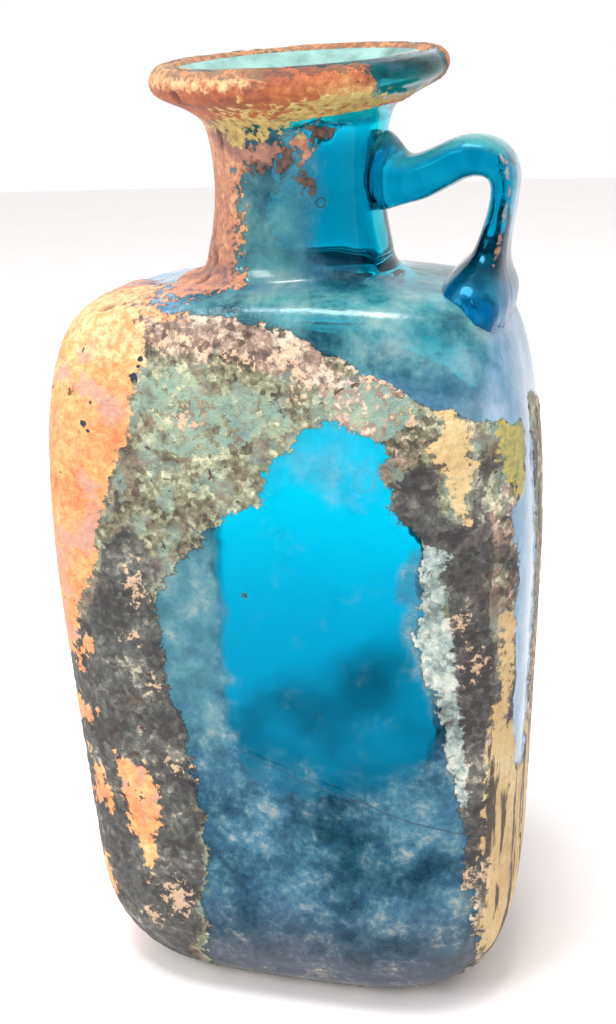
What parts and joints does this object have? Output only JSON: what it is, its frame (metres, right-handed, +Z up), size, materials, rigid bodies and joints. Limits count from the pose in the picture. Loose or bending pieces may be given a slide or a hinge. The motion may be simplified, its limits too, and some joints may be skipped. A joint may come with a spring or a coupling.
{
  "type": "glass perfume flask",
  "caption": "Hollow blown-glass flask, oblong in plan, with a domed shoulder, a round neck, a thick collared mouth and a strap handle, for holding scented oil.",
  "frame": {"origin": "on the ground, under the middle of the flask's plan", "axes": "+Z up through the flask, +X towards the handle, -Y towards the broad front face"},
  "size_m": [0.0602, 0.0392, 0.1193],
  "materials": {
    "vessel_glass": "weathered, with crust and patches of clear glass",
    "handle_glass": "glossy with a thin line of crust"
  },
  "bodies": {
    "root": {"vessel": "vessel_glass", "handle": "handle_glass"}
  },
  "joints": []
}
